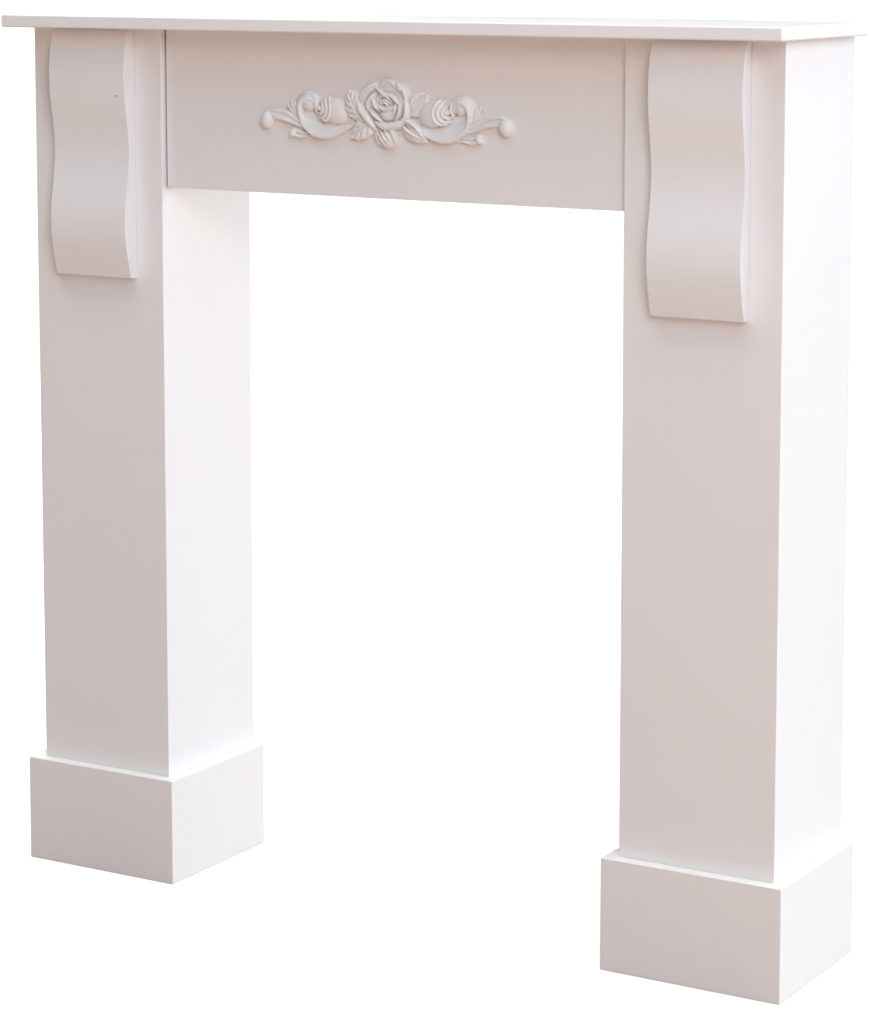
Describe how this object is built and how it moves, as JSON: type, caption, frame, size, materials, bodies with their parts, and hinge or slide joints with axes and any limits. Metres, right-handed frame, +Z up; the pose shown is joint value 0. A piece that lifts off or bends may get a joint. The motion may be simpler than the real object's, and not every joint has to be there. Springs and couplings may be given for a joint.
{
  "type": "fireplace mantelpiece",
  "caption": "White lacquered fireplace mantelpiece: thin shelf, box legs on plinths, plain frieze with a cast rose swag, and a wavy bracket on each leg.",
  "frame": {"origin": "on the floor under the middle of the shelf, half way between its front edge and its back edge", "axes": "+X to the right of someone who faces the hearth, +Y towards the wall behind, +Z up"},
  "size_m": [1.0306, 0.23, 1.06],
  "materials": {
    "white_lacquer": "fibreboard sprayed with white satin lacquer",
    "cast_ornament": "cast resin under the same white satin lacquer"
  },
  "bodies": {
    "root": {"shelf": "white_lacquer", "left_leg_front_board": "white_lacquer", "left_leg_outer_side": "white_lacquer", "left_leg_inner_side": "white_lacquer", "left_plinth_front_board": "white_lacquer", "left_plinth_outer_side": "white_lacquer", "left_plinth_inner_side": "white_lacquer", "left_bracket": "white_lacquer", "right_leg_front_board": "white_lacquer", "right_leg_outer_side": "white_lacquer", "right_leg_inner_side": "white_lacquer", "right_plinth_front_board": "white_lacquer", "right_plinth_outer_side": "white_lacquer", "right_plinth_inner_side": "white_lacquer", "right_bracket": "white_lacquer", "frieze_panel": "white_lacquer", "rose_swag": "cast_ornament"}
  },
  "joints": []
}
